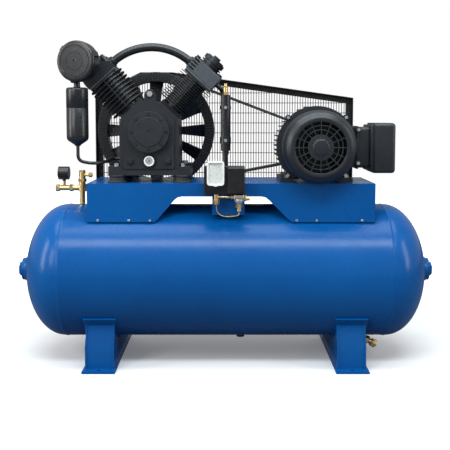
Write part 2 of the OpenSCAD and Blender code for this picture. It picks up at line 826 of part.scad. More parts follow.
module motor_frame() {
    color([0.1, 0.105, 0.11]) difference() {
        union() {
            ycyl(motor_x, motor_z, -100, 110, motor_r);
            intersection() {
                ycyl(motor_x, motor_z, -94, 104, 146);
                for (z = [-90:18:90])
                    box(motor_x - 150, motor_x + 150, -94, 104, motor_z + z - 2, motor_z + z + 2);
            }
            for (x = [motor_x - 54:18:motor_x + 54])
                box(x - 2, x + 2, -94, 104, motor_z + 60, motor_z + 136);
            box(motor_x + 80, motor_x + 147, -82, 42, motor_z - 74, motor_z + 70);
            for (x = [motor_x - motor_a, motor_x + motor_a])
                box(x - 24, x + 24, -108, 108, deck_z, pad_top);
            for (x = [motor_x - 96, motor_x + 60]) box(x, x + 36, -70, 70, deck_z + 8, deck_z + 50);
            box(motor_x - 37, motor_x + 37, -20, 30, motor_z + 110, motor_z + 146);
        }
        ycyl(motor_x, motor_z, -101, 111, motor_r - 8);
        for (x = [-1, 1], y = [-1, 1])
            zcyl(motor_x + x * motor_a, y * motor_b, deck_z - 1, deck_z + 40, 6);
        box(motor_x - 28, motor_x + 28, -21, 31, motor_z + 131, motor_z + 139);
    }
}

module motor_shields() {
    color([0.1, 0.105, 0.11]) difference() {
        union() {
            ycyl(motor_x, motor_z, -112, -100, 122.4);
            difference() {
                union() {
                    ycyl(motor_x, motor_z, -100, -94.2, 147);
                    for (e = shield_ears) at_ear(e) ycyl(0, 0, 0, 11.8, 10);
                }
                ycyl(motor_x, motor_z, -101, -94, 122);
                ycyl(motor_x, motor_z, -107, -100, 131.5);
                box(motor_x - 160, motor_x + 160, -107, -94, deck_z - 20, pad_top + 0.3);
                for (x = [motor_x - motor_a, motor_x + motor_a])
                    box(x - 13, x + 13, -107, -94, pad_top, pad_top + 9.5);
            }
            ycyl(motor_x, motor_z, 110, 132, 116);
        }
        ycyl(motor_x, motor_z, -108, -90, 31);
        ycyl(motor_x, motor_z, 100, 128, 31);
        ycyl(motor_x, motor_z, -120, 140, 21);
    }
}

module at_ear(ear) {
    translate([motor_x + ear[1] * cos(ear[0]), -106, motor_z + ear[1] * sin(ear[0])]) children();
}

module motor_stator() {
    color([0.6, 0.35, 0.15]) difference() {
        union() {
            ycyl(motor_x, motor_z, -70, 80, motor_r - 8);
            ycyl(motor_x, motor_z, -88, 98, 104);
        }
        ycyl(motor_x, motor_z, -90, 100, 63);
    }
}

module motor_rotor() {
    color([0.5, 0.51, 0.53]) {
        ycyl(motor_x, motor_z, -160, 226, motor_shaft_r);
        ycyl(motor_x, motor_z, -70, 80, 62.4);
    }
}

module motor_fan() {
    color([0.05, 0.05, 0.055]) translate([motor_x, 0, motor_z]) difference() {
        union() {
            ycyl(0, 0, -158, -122, 30);
            ycyl(0, 0, -126, -122, 104);
            for (i = [0:8]) rotate([0, 40 * i, 0]) box(24, 104, -156, -124, -2, 2);
        }
        ycyl(0, 0, -170, -110, motor_shaft_r);
    }
}

module fan_cover() {
    slot_in = 45;
    slot_out = 91;
    rings = [62, 77];
    spokes = 16;
    outside = [[0, 235], [96, 235], [106, 232], [125, 215], [131, 203], [131, 100.2]];
    inside = [[122.5, 100.2], [122.5, 200], [118, 210], [101, 226], [92, 230], [0, 230]];
    color([0.11, 0.115, 0.12]) translate([motor_x, 0, motor_z]) difference() {
        union() {
            rotate([90, 0, 0]) rotate_extrude() polygon(concat(outside, inside));
            ycyl(0, 0, -237, -235, 27);
        }
        for (i = [0:5]) rotate([0, 60 * i, 0]) ycyl(0, 35, -236, -232, 2.5);
        difference() {
            ycyl(0, 0, -240, -220, slot_out);
            ycyl(0, 0, -241, -219, slot_in);
            for (r = rings) difference() {
                ycyl(0, 0, -242, -218, r + 1.6);
                ycyl(0, 0, -243, -217, r - 1.6);
            }
            for (i = [0:spokes - 1]) rotate([0, 360 / spokes * i, 0])
                box(slot_in - 5, slot_out + 4, -242, -218, -1.8, 1.8);
        }
    }
}

module terminal_box() {
    color([0.1, 0.105, 0.11]) difference() {
        union() {
            box(motor_x + 147, lid_x0 - 16, -86, 46, 722, 872);
            box(lid_x0 - 16, lid_x0, -100, 60, 706, 884);
        }
        box(motor_x + 155, lid_x0 - 15, -78, 38, 730, 864);
        box(lid_x0 - 15.5, lid_x0 + 1, -90, 50, 716, 874);
    }
}

module terminal_lid() {
    color([0.11, 0.115, 0.12]) difference() {
        box(lid_x0 + 0.3, lid_x1, -103, 63, 703, 887);
        box(lid_x0 - 1, lid_x1 - 6, -97, 55, 709, 881);
        ycyl(entry_x, entry_z, 50, 64, entry_r);
    }
}

module motor_pulley() {
    color([0.3, 0.3, 0.31]) translate([motor_x, 0, motor_z]) difference() {
        union() {
            translate([0, rim_y1, 0]) rotate([90, 0, 0]) rotate_extrude() rim_profile(pul_r, 24);
            ycyl(0, 0, rim_y0 + 10, rim_y1 - 10, pul_r - 20);
        }
        ycyl(0, 0, rim_y0 - 1, rim_y1 + 1, motor_shaft_r);
    }
}

module belt_loop(d) {
    polygon(concat(arc_pts(crank_x, crank_z, fly_r - d, drive_a + wrap_a, drive_a + 360 - wrap_a, 60),
                   arc_pts(motor_x, motor_z, pul_r - d, drive_a - wrap_a, drive_a + wrap_a, 20)));
}

module belts() {
    color([0.05, 0.05, 0.05]) for (y = [rim_y0 + 12.6, rim_y0 + 36.6]) translate([0, y + 15.8, 0])
        rotate([90, 0, 0]) linear_extrude(15.8) difference() {
            belt_loop(0.5);
            belt_loop(groove_d - 0.6);
        }
}

// ---- guard ----

// Where a level wire at height z ends on a guard edge rising from a to b
function on_side(a, b, z) = z < a[1] ? a[0] : a[0] + (b[0] - a[0]) * (z - a[1]) / (b[1] - a[1]);

module guard_frame() {
    color([0.09, 0.095, 0.1]) {
        difference() {
            xz_plate(guard_out, guard_y0, guard_y1);
            xz_plate(guard_rim, guard_y0 - 1, guard_y1 - 22);
            xz_plate(guard_in, guard_y0 - 1, guard_y1 + 1);
        }
        for (x = [-480, 60, 440]) {
            box(x, x + 40, deck_y, guard_y0 + 3, 605, 612);
            box(x, x + 40, deck_y, deck_y + 5, 605, 650);
        }
    }
}

module guard_mesh() {
    wy = guard_y1 - 23.6;
    corner = [guard_mid[1], guard_mid[2]];
    slope = [guard_mid[3], guard_mid[4]];
    color([0.1, 0.1, 0.105]) {
        for (x = [-510:10.6:502]) zcyl(x, wy, 618, lerp_z(guard_mid, x), 1.4);
        for (z = [640:40.8:1070])
            xcyl(wy - 2.9, z, on_side(corner[0], corner[1], z), on_side(slope[1], slope[0], z), 1.4);
    }
}

tank_shell();
end_plugs();
foot_left();
foot_right();
deck();
deck_screws();
switch_bracket();
isolators();
mount_bolts();
crankcase();
front_cover();
rear_cover();
pump_bolts();
bearings();
sight_glass();
case_plugs();
lifting_lug();
crankshaft();
flywheel();
low_rod();
high_rod();
low_piston();
high_piston();
low_pin();
high_pin();
low_cylinder();
high_cylinder();
valve_plates();
low_head();
high_head();
high_cap();
intercooler();
intake_elbow();
filter_body();
filter_cover();
breather_bottle();
breather_tube();
discharge_pipe();
relief_valve();
switch_box();
switch_window();
switch_valve();
switch_fittings();
outlet_manifold();
gauge_case();
gauge_needle();
drain_valve();
drain_knob();
motor_frame();
motor_shields();
motor_stator();
motor_rotor();
motor_fan();
fan_cover();
terminal_box();
terminal_lid();
motor_pulley();
belts();
guard_frame();
guard_mesh();
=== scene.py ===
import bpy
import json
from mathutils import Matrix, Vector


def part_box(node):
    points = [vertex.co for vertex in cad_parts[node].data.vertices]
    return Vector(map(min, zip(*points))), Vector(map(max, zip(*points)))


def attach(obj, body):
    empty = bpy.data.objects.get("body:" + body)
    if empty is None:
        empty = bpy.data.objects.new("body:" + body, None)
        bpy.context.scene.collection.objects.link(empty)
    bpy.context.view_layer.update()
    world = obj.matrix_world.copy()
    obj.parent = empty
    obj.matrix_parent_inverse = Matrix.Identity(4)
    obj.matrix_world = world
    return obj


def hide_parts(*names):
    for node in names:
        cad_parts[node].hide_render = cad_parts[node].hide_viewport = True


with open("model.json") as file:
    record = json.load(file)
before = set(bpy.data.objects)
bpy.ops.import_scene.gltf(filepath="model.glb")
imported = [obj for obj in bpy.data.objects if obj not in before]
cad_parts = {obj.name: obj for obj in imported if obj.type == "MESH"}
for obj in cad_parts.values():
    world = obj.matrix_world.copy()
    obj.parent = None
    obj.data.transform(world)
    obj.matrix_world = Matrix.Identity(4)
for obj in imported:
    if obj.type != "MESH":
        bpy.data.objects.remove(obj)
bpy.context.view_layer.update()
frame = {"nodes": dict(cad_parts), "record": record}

import json
import math

import bmesh
import bpy
from mathutils import Matrix, Vector

NODES = frame["nodes"]
SCENE = bpy.context.scene

# ---- fixed places, lengths in metres, repeated from the CAD ----
TANK_R, TANK_HALF, TANK_STRAIGHT, TANK_Z = 0.250, 0.750, 0.600, 0.330
CRANK = Vector((-0.277, 0.0, 0.855))
MOTOR = Vector((0.333, 0.0, 0.802))
VEE = math.radians(42)
RIM_Y0, RIM_Y1, FLY_R = 0.165, 0.230, 0.232
FILTER, FILTER_R, FILTER_YAW = Vector((-0.526, -0.205, 1.103)), 0.0725, math.radians(17)


# ---- materials ----

# a Mix node's colour sockets by number, because its other kinds have sockets of the same names
MIX_FACTOR, MIX_A, MIX_B, MIX_RESULT = 0, 6, 7, 2


class Tree:
    """A material's node tree, with short ways to add and link nodes."""

    def __init__(self, name):
        self.mat = bpy.data.materials.new(name)
        self.mat.use_nodes = True
        self.t = self.mat.node_tree
        self.t.nodes.clear()
        self.out = self.t.nodes.new("ShaderNodeOutputMaterial")
        self.bsdf = self.t.nodes.new("ShaderNodeBsdfPrincipled")
        self.link(self.bsdf, "BSDF", self.out, "Surface")
        self.coord = self.t.nodes.new("ShaderNodeTexCoord")

    def link(self, a, ao, b, bi):
        self.t.links.new(a.outputs[ao], b.inputs[bi])

    def put(self, socket, value):
        self.bsdf.inputs[socket].default_value = value

    def noise(self, scale, detail=4.0, rough=0.55, stretch=None):
        n = self.t.nodes.new("ShaderNodeTexNoise")
        n.inputs["Scale"].default_value = scale
        n.inputs["Detail"].default_value = detail
        n.inputs["Roughness"].default_value = rough
        if stretch:
            m = self.t.nodes.new("ShaderNodeMapping")
            m.inputs["Scale"].default_value = stretch
            self.link(self.coord, "Object", m, "Vector")
            self.link(m, "Vector", n, "Vector")
        else:
            self.link(self.coord, "Object", n, "Vector")
        return n

    def ramp(self, src, out, stops):
        r = self.t.nodes.new("ShaderNodeValToRGB")
        el = r.color_ramp.elements
        while len(el) < len(stops):
            el.new(0.5)
        for e, (p, c) in zip(el, stops):
            e.position = p
            e.color = c if len(c) == 4 else (*c, 1.0)
        self.link(src, out, r, "Fac")
        return r

    def grey(self, src, out, lo, hi, p0=0.3, p1=0.7):
        return self.ramp(src, out, [(p0, (lo, lo, lo)), (p1, (hi, hi, hi))])

    def mix(self, fac, a, b, mode="MIX", amount=None):
        """Colour mix; fac, a and b are (node, output) or plain values."""
        m = self.t.nodes.new("ShaderNodeMix")
        m.data_type = "RGBA"
        m.blend_type = mode
        for src, key in ((fac, MIX_FACTOR), (a, MIX_A), (b, MIX_B)):
            if isinstance(src, tuple) and isinstance(src[0], bpy.types.Node):
                self.link(*src, m, key)
            else:
                m.inputs[key].default_value = src
        return m

    def bump(self, src, out, strength, distance, base=None):
        b = self.t.nodes.new("ShaderNodeBump")
        b.inputs["Strength"].default_value = strength
        b.inputs["Distance"].default_value = distance
        self.link(src, out, b, "Height")
        if base is not None:
            self.link(base, "Normal", b, "Normal")
        self.link(b, "Normal", self.bsdf, "Normal")
        return b

    def edges(self, lo=0.51, hi=0.58):
        """Bright on worn convex edges."""
        g = self.t.nodes.new("ShaderNodeNewGeometry")
        return self.grey(g, "Pointiness", 0.0, 1.0, lo, hi)

    def rough(self, src, lo, hi, p0=0.3, p1=0.7):
        """Roughness that drifts from lo to hi with a noise."""
        self.link(self.grey(src, "Fac", lo, hi, p0, p1), "Color", self.bsdf, "Roughness")

    def worn(self, under, tint, edge_top, patch_scale, amount, patch_lo, patch_hi):
        """The tint in patches along convex edges, over the colour `under`."""
        edge = self.edges(0.51, edge_top)
        patch = self.noise(patch_scale, 3.0)
        gate = self.grey(patch, "Fac", 0.0, amount, patch_lo, patch_hi)
        both = self.mix(1.0, (edge, "Color"), (gate, "Color"), "MULTIPLY")
        return self.mix((both, MIX_RESULT), under, rgb4(tint)), MIX_RESULT


def rgb4(c):
    return (*c, 1.0)


def paint(name, base, dark, light, rough=(0.28, 0.42), cloud=3.0, grain=700.0, grain_h=0.00006,
          coat=0.0, wear=None, wear_amount=0.35, peel_scale=0.0, shine=0.5):
    """Enamel or powder coat over metal: broad tone drift, fine grain, worn edges, orange peel."""
    k = Tree(name)
    broad = k.noise(cloud, 5.0)
    tone = k.ramp(broad, "Fac", [(0.3, dark), (0.5, base), (0.72, light)])
    fine = k.noise(grain, 3.0, 0.6)
    speck = k.grey(fine, "Fac", 0.86, 1.12, 0.3, 0.7)
    col = k.mix(1.0, (tone, "Color"), (speck, "Color"), "MULTIPLY")
    last = (col, MIX_RESULT)
    if wear:
        last = k.worn(last, wear, 0.58, 60.0, wear_amount, 0.42, 0.66)
    k.link(*last, k.bsdf, "Base Color")
    k.rough(k.noise(cloud * 7, 6.0), *rough, 0.32, 0.7)
    b = k.bump(fine, "Fac", 0.5, grain_h)
    if peel_scale:
        peel = k.noise(peel_scale, 2.0, 0.4)
        k.bump(peel, "Fac", 0.25, 0.0003, b)
    k.put("Specular IOR Level", shine)
    if coat:
        k.put("Coat Weight", coat)
        k.put("Coat Roughness", 0.18)
    return k.mat


def metal(name, base, dark, rough=(0.22, 0.4), brushed=None, stain=None, grain=400.0):
    """Bare or plated metal with fine turning or brushing marks and light tarnish."""
    k = Tree(name)
    broad = k.noise(22.0, 5.0)
    tone = k.ramp(broad, "Fac", [(0.32, dark), (0.68, base)])
    last = (tone, "Color")
    if stain:
        sn = k.noise(70.0, 6.0, 0.65)
        sg = k.grey(sn, "Fac", 0.0, 0.6, 0.52, 0.72)
        last = (k.mix((sg, "Color"), last, rgb4(stain)), MIX_RESULT)
    k.link(*last, k.bsdf, "Base Color")
    fine = k.noise(grain, 3.0, 0.6, brushed)
    k.rough(fine, *rough)
    k.bump(fine, "Fac", 0.35, 0.00005)
    k.put("Metallic", 1.0)
    return k.mat


def cast(name, base, dark, light, rough=(0.42, 0.6), grain=330.0, height=0.00035, wear=(0.20, 0.21, 0.22)):
    """Sand-cast iron under satin paint: pebbled skin, soft tone drift, rubbed edges."""
    k = Tree(name)
    broad = k.noise(9.0, 5.0)
    tone = k.ramp(broad, "Fac", [(0.3, dark), (0.52, base), (0.74, light)])
    peb = k.noise(grain, 5.0, 0.62)
    sp = k.grey(peb, "Fac", 0.8, 1.2, 0.32, 0.7)
    col = k.mix(1.0, (tone, "Color"), (sp, "Color"), "MULTIPLY")
    last = k.worn((col, MIX_RESULT), wear, 0.6, 80.0, 0.5, 0.4, 0.65)
    k.link(*last, k.bsdf, "Base Color")
    k.rough(k.noise(45.0, 5.0), *rough)
    b = k.bump(peb, "Fac", 0.4, height)
    lump = k.noise(60.0, 3.0, 0.5)
    k.bump(lump, "Fac", 0.2, 0.0004, b)
    return k.mat


def rubber(name, base=(0.018, 0.018, 0.019), light=(0.035, 0.035, 0.036)):
    """Dull moulded rubber with a very fine skin."""
    k = Tree(name)
    n = k.noise(40.0, 6.0)
    tone = k.ramp(n, "Fac", [(0.3, base), (0.75, light)])
    k.link(tone, "Color", k.bsdf, "Base Color")
    fine = k.noise(900.0, 2.0)
    k.rough(n, 0.55, 0.8)
    k.bump(fine, "Fac", 0.4, 0.00012)
    return k.mat


def plastic(name, base, light, rough=(0.4, 0.55), grain=1300.0):
    """Moulded plastic with a faint tone drift."""
    k = Tree(name)
    n = k.noise(30.0, 5.0)
    tone = k.ramp(n, "Fac", [(0.3, base), (0.75, light)])
    k.link(tone, "Color", k.bsdf, "Base Color")
    fine = k.noise(grain, 2.0)
    k.rough(n, *rough)
    k.bump(fine, "Fac", 0.35, 0.00008)
    return k.mat


BLUE = paint("blue_enamel", (0.0012, 0.083, 0.298), (0.0010, 0.074, 0.274), (0.0015, 0.092, 0.322),
             (0.22, 0.33), cloud=2.2, grain=520.0, grain_h=0.00003, coat=0.16, shine=0.16, peel_scale=140.0)
PUMP = cast("pump_cast", (0.0105, 0.0132, 0.0170), (0.0090, 0.0114, 0.0148), (0.0124, 0.0154, 0.0196),
            rough=(0.38, 0.48), wear=(0.022, 0.026, 0.032))
MOTORM = cast("motor_cast", (0.0112, 0.0142, 0.0182), (0.0096, 0.0122, 0.0158), (0.0132, 0.0166, 0.0210),
              rough=(0.34, 0.44), grain=600.0, height=0.0001, wear=(0.024, 0.028, 0.034))
SATIN = paint("satin_black_enamel", (0.0080, 0.0092, 0.0112), (0.0064, 0.0075, 0.0092),
              (0.0100, 0.0115, 0.0140), (0.25, 0.34), cloud=8.0, grain=800.0, grain_h=0.00003,
              wear=(0.06, 0.066, 0.075), wear_amount=0.3)
GUARD = paint("guard_black_enamel", (0.0070, 0.0080, 0.0096), (0.0056, 0.0066, 0.0080),
              (0.0090, 0.0104, 0.0124), (0.30, 0.42), cloud=8.0, grain=600.0, wear=(0.05, 0.055, 0.062),
              wear_amount=0.5)
ZINC = metal("zinc_plate", (0.84, 0.85, 0.87), (0.66, 0.67, 0.70), (0.22, 0.36), stain=(0.46, 0.45, 0.42))
DARK_BOLT = metal("blackened_bolt", (0.07, 0.072, 0.076), (0.04, 0.042, 0.045), (0.35, 0.5))
STEEL = metal("turned_steel", (0.50, 0.51, 0.52), (0.36, 0.37, 0.38), (0.2, 0.36), brushed=(1.0, 12.0, 1.0))
ALLOY = metal("cast_alloy", (0.66, 0.67, 0.68), (0.5, 0.51, 0.52), (0.3, 0.45))
IRON = cast("pulley_iron", (0.06, 0.062, 0.066), (0.045, 0.047, 0.05), (0.09, 0.092, 0.096))
CORE = cast("winding_core", (0.13, 0.07, 0.035), (0.09, 0.05, 0.026), (0.2, 0.1, 0.05))
RUBBER = rubber("moulded_rubber")
BELT = rubber("belt_rubber", (0.012, 0.012, 0.013), (0.03, 0.03, 0.031))
PLASTIC = plastic("black_moulding", (0.0055, 0.0062, 0.0072), (0.0085, 0.0094, 0.0106), (0.30, 0.42))
WHITE = plastic("pale_moulding", (0.80, 0.81, 0.80), (0.88, 0.88, 0.87), (0.22, 0.36))
BRASS = metal("turned_brass", (1.0, 0.76, 0.38), (0.90, 0.64, 0.28), (0.24, 0.38), stain=(0.66, 0.43, 0.17))
NICKEL = metal("nickel_plate", (0.86, 0.84, 0.77), (0.72, 0.69, 0.61), (0.18, 0.3), stain=(0.60, 0.52, 0.38))


def glass(name):
    """Clear window: nearly all see-through, with a faint uneven gloss."""
    k = Tree(name)
    n = k.noise(35.0, 4.0)
    tone = k.ramp(n, "Fac", [(0.3, (0.93, 0.96, 0.96)), (0.7, (1.0, 1.0, 1.0))])
    k.link(tone, "Color", k.bsdf, "Base Color")
    k.rough(n, 0.03, 0.08)
    k.put("Alpha", 0.08)
    k.put("IOR", 1.5)
    return k.mat


def card(name):
    """Pale printed sheet, as soft blotches with no lettering."""
    k = Tree(name)
    n = k.noise(110.0, 3.0, 0.7)
    tone = k.ramp(n, "Fac", [(0.36, (0.16, 0.26, 0.34)), (0.43, (0.52, 0.58, 0.56)),
                             (0.50, (0.74, 0.75, 0.66)), (0.56, (0.50, 0.56, 0.54)),
                             (0.62, (0.70, 0.42, 0.16)), (0.70, (0.84, 0.80, 0.66))])
    m = k.noise(28.0, 2.0, 0.5)
    wash = k.ramp(m, "Fac", [(0.40, (0.70, 0.74, 0.72)), (0.62, (0.84, 0.84, 0.80))])
    both = k.mix(0.30, (tone, "Color"), (wash, "Color"))
    k.link(both, MIX_RESULT, k.bsdf, "Base Color")
    fine = k.noise(800.0, 2.0)
    k.rough(fine, 0.4, 0.6)
    k.bump(fine, "Fac", 0.2, 0.00004)
    return k.mat


GLASS = glass("clear_window")
CARD = card("window_card_sheet")
RED = plastic("needle_red", (0.5, 0.02, 0.015), (0.62, 0.03, 0.02))

SLOT_MAT = {
    "receiver_blue": BLUE, "pump_black": PUMP, "motor_black": MOTORM, "satin_black": SATIN,
    "zinc_steel": ZINC, "machined_steel": STEEL, "cast_alloy": ALLOY, "winding_core": CORE,
    "pulley_iron": IRON, "rubber_black": RUBBER, "plastic_black": PLASTIC, "plastic_white": WHITE,
    "clear_glass": WHITE, "nickel_plate": NICKEL, "brass": BRASS, "needle_red": RED,
}
HEAD = cast("head_cast", (0.052, 0.060, 0.071), (0.044, 0.051, 0.060), (0.062, 0.071, 0.084),
            rough=(0.36, 0.46), wear=(0.075, 0.085, 0.10))
NODE_MAT = {"high_head": HEAD, "belts": BELT, "guard_frame": GUARD, "guard_mesh": GUARD,
            "pump_bolts": DARK_BOLT}

# edge rounding in metres; other nodes get EDGE
EDGE = 0.0008
BEVEL = {
    "deck": 0.005, "crankcase": 0.006, "front_cover": 0.0025, "low_head": 0.0035, "high_head": 0.003,
    "high_cap": 0.0012, "filter_body": 0.001, "switch_box": 0.005, "guard_frame": 0.002,
    "guard_mesh": 0.0, "low_cylinder": 0.0009, "high_cylinder": 0.0006, "foot_left": 0.0015,
    "foot_right": 0.0015, "isolators": 0.002, "lifting_lug": 0.003, "intake_elbow": 0.005,
    "flywheel": 0.0015, "belts": 0.0012, "gauge_case": 0.003, "gauge_needle": 0.0,
    "end_plugs": 0.002, "motor_shields": 0.002,
}


def smooth(o):
    for p in o.data.polygons:
        p.use_smooth = True


# nodes with ring-shaped faces, which keep their triangles, because dissolving those faces spoils the shading
RINGED = {"low_cylinder", "high_cylinder", "flywheel", "motor_shields", "high_cap",
          "motor_pulley", "motor_frame", "gauge_case", "isolators", "end_plugs", "bearings", "valve_plates"}


WELD_GAP = 0.00002
FLAT_ANGLE = math.radians(0.05)
SPLIT_ANGLE = math.radians(38)


def soften(o, width, angle=32.0, segments=2, planar=True):
    """Weld, dissolve, bevel and weight the normals of a solid with modifiers only."""
    smooth(o)
    m = o.modifiers.new("weld", "WELD")
    m.merge_threshold = WELD_GAP
    if width > 0:
        if planar:
            d = o.modifiers.new("planar", "DECIMATE")
            d.decimate_type = "DISSOLVE"
            d.angle_limit = FLAT_ANGLE
        b = o.modifiers.new("bevel", "BEVEL")
        b.width = width
        b.segments = segments
        b.limit_method = "ANGLE"
        b.angle_limit = math.radians(angle)
        b.use_clamp_overlap = True
        b.harden_normals = False
        b.miter_outer = "MITER_ARC"
        w = o.modifiers.new("normals", "WEIGHTED_NORMAL")
        w.keep_sharp = True
        w.weight = 80
    else:
        e = o.modifiers.new("split", "EDGE_SPLIT")
        e.split_angle = math.radians(angle)


def set_material(o, mat):
    o.data.materials.clear()
    o.data.materials.append(mat)


SUB = {s["node"]: s["material_slot"] for s in frame["record"]["subparts"]}
for name, node in NODES.items():
    set_material(node, NODE_MAT.get(name) or SLOT_MAT[SUB[name]])
    soften(node, BEVEL.get(name, EDGE), planar=name not in RINGED)


# ---- building helpers ----

def new_object(name, mesh, mat, body="frame"):
    o = bpy.data.objects.new(name, mesh)
    SCENE.collection.objects.link(o)
    mesh.materials.append(mat)
    smooth(o)
    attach(o, body)
    return o


def from_bmesh(name, bm, mat, body="frame", bevel=0.0, angle=32.0, segments=2):
    bmesh.ops.recalc_face_normals(bm, faces=bm.faces)
    mesh = bpy.data.meshes.new(name)
    bm.to_mesh(mesh)
    bm.free()
    o = new_object(name, mesh, mat, body)
    if bevel > 0:
        soften(o, bevel, angle, segments)
    else:
        o.modifiers.new("split", "EDGE_SPLIT").split_angle = SPLIT_ANGLE
    return o


def revolve(bm, profile, matrix, steps=96, close=False):
    """Turn (radius, height) points about the matrix's Z; ends on the axis become single points."""
    rings = []
    for r, h in profile:
        if r < 1e-6:
            rings.append([bm.verts.new(matrix @ Vector((0, 0, h)))])
        else:
            rings.append([bm.verts.new(matrix @ Vector((r * math.cos(2 * math.pi * i / steps),
                                                        r * math.sin(2 * math.pi * i / steps), h)))
                          for i in range(steps)])
    pairs = list(zip(rings, rings[1:]))
    if close:
        pairs.append((rings[-1], rings[0]))
    for a, b in pairs:
        for i in range(steps):
            j = (i + 1) % steps
            if len(a) == 1 and len(b) == 1:
                continue
            if len(a) == 1:
                bm.faces.new((a[0], b[j], b[i]))
            elif len(b) == 1:
                bm.faces.new((a[i], a[j], b[0]))
            else:
                bm.faces.new((a[i], a[j], b[j], b[i]))


def tube(name, points, radius, mat, body="frame", turn=0.02, steps=10):
    """A round tube along straight runs joined by bends of radius `turn`."""
    pts = [Vector(p) for p in points]
    path = [pts[0]]
    for a, b, c in zip(pts, pts[1:], pts[2:]):
        u, v = (a - b), (c - b)
        cut = min(turn, u.length * 0.48, v.length * 0.48)
        p0, p2 = b + u.normalized() * cut, b + v.normalized() * cut
        for i in range(steps + 1):
            t = i / steps
            path.append((1 - t) ** 2 * p0 + 2 * t * (1 - t) * b + t * t * p2)
    path.append(pts[-1])
    cu = bpy.data.curves.new(name, "CURVE")
    cu.dimensions = "3D"
    sp = cu.splines.new("POLY")
    sp.points.add(len(path) - 1)
    for q, p in zip(sp.points, path):
        q.co = (*p, 1.0)
    cu.bevel_depth = radius
    cu.bevel_resolution = 6
    cu.use_fill_caps = True
    sp.use_smooth = True
    cu.materials.append(mat)
    o = bpy.data.objects.new(name, cu)
    SCENE.collection.objects.link(o)
    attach(o, body)
    return o


def along(origin, direction, up=Vector((0, 0, 1))):
    """A matrix whose Z runs along direction."""
    z = Vector(direction).normalized()
    x = up.cross(z)
    if x.length < 1e-6:
        x = Vector((1, 0, 0))
    x.normalize()
    y = z.cross(x)
    m = Matrix((x, y, z)).transposed().to_4x4()
    m.translation = Vector(origin)
    return m


# ---- receiver ----

def build_tank():
    rise = TANK_HALF - TANK_STRAIGHT
    bead = 0.0016
    shell_r = TANK_R - bead
    prof = []
    n = 26
    for i in range(n + 1):
        a = math.pi / 2 * i / n
        prof.append((shell_r * math.sin(a), -TANK_STRAIGHT - rise * math.cos(a)))
    weld = TANK_STRAIGHT - 0.008
    for s in (-1, 1):
        for k in range(-4, 5):
            t = k / 4
            prof.append((shell_r + bead * (1 - t * t), s * weld + 0.006 * t))
    for i in range(n + 1):
        a = math.pi / 2 * (n - i) / n
        prof.append((shell_r * math.sin(a), TANK_STRAIGHT + rise * math.cos(a)))
    m = along((0, 0, TANK_Z), (1, 0, 0))
    bm = bmesh.new()
    revolve(bm, prof, m, 160)
    tank = from_bmesh("receiver_shell", bm, BLUE)
    bm = bmesh.new()
    for s in (-1, 1):
        mm = along((s * (TANK_HALF - 0.016), 0, TANK_Z), (s, 0, 0))
        revolve(bm, [(0.054, 0.0), (0.0525, 0.006), (0.047, 0.010), (0.0455, 0.014), (0.0455, 0.026),
                     (0.044, 0.028), (0.030, 0.028), (0.030, 0.002)], mm, 64)
    revolve(bm, [(0.021, 0.0), (0.019, -0.003), (0.0155, -0.005), (0.015, -0.013), (0.014, -0.014),
                 (0.008, -0.014), (0.008, 0.004)],
            Matrix.Translation((0.057, 0, TANK_Z - TANK_R + 0.001)), 40)
    from_bmesh("receiver_bosses", bm, BLUE)
    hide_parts("tank_shell")


build_tank()


# ---- tubes ----

def build_tubes():
    centre, sweep, n = Vector((CRANK.x, 0, 0.9494)), 0.2197, 40
    arc = [centre + Vector((sweep * math.cos(a), 0, sweep * math.sin(a)))
           for a in [math.radians(50 + 80 * i / n) for i in range(n + 1)]]
    t = tube("intercooler_arch", arc, 0.0155, SATIN, turn=0.0, steps=1)
    bm = bmesh.new()
    for s in (-1, 1):
        axis = Vector((s * math.sin(VEE), 0, math.cos(VEE)))
        side = Vector((-s * math.cos(VEE), 0, math.sin(VEE)))
        at = CRANK + axis * 0.2915 + side * 0.063
        revolve(bm, [(0.0, 0.0), (0.021, 0.0), (0.0215, 0.002), (0.0215, 0.005), (0.019, 0.0065),
                     (0.019, 0.011), (0.0175, 0.0125), (0.0155, 0.0125), (0.0, 0.0125)],
                along(at, side), 48)
    from_bmesh("intercooler_collars", bm, SATIN)
    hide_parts("intercooler")
    pts = [(-0.528, -0.160, 0.806), (-0.528, -0.160, 0.752), (-0.478, -0.150, 0.742), (-0.440, -0.112, 0.745),
           (-0.420, -0.050, 0.755), (-0.385, -0.050, 0.755)]
    b = tube("breather_line", pts, 0.006, SATIN, turn=0.022)
    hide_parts("breather_tube")


build_tubes()


# ---- flywheel ribs ----

def rib(bm, matrix, a, b, width, rise):
    """A low ridge from a to b in the matrix's frame, standing `rise` towards -Y."""
    run = (b - a).normalized()
    side = run.cross(Vector((0, 1, 0))).normalized()
    vs = []
    for y, k in ((0.0004, 1.0), (-rise, 0.55)):
        for p in (a, b):
            for s in (-1, 1):
                vs.append(bm.verts.new(matrix @ (p + side * (s * width * k) + Vector((0, y, 0)))))
    for q in ((0, 1, 5, 4), (2, 6, 7, 3), (0, 4, 6, 2), (1, 3, 7, 5), (4, 5, 7, 6), (0, 2, 3, 1)):
        bm.faces.new([vs[j] for j in q])


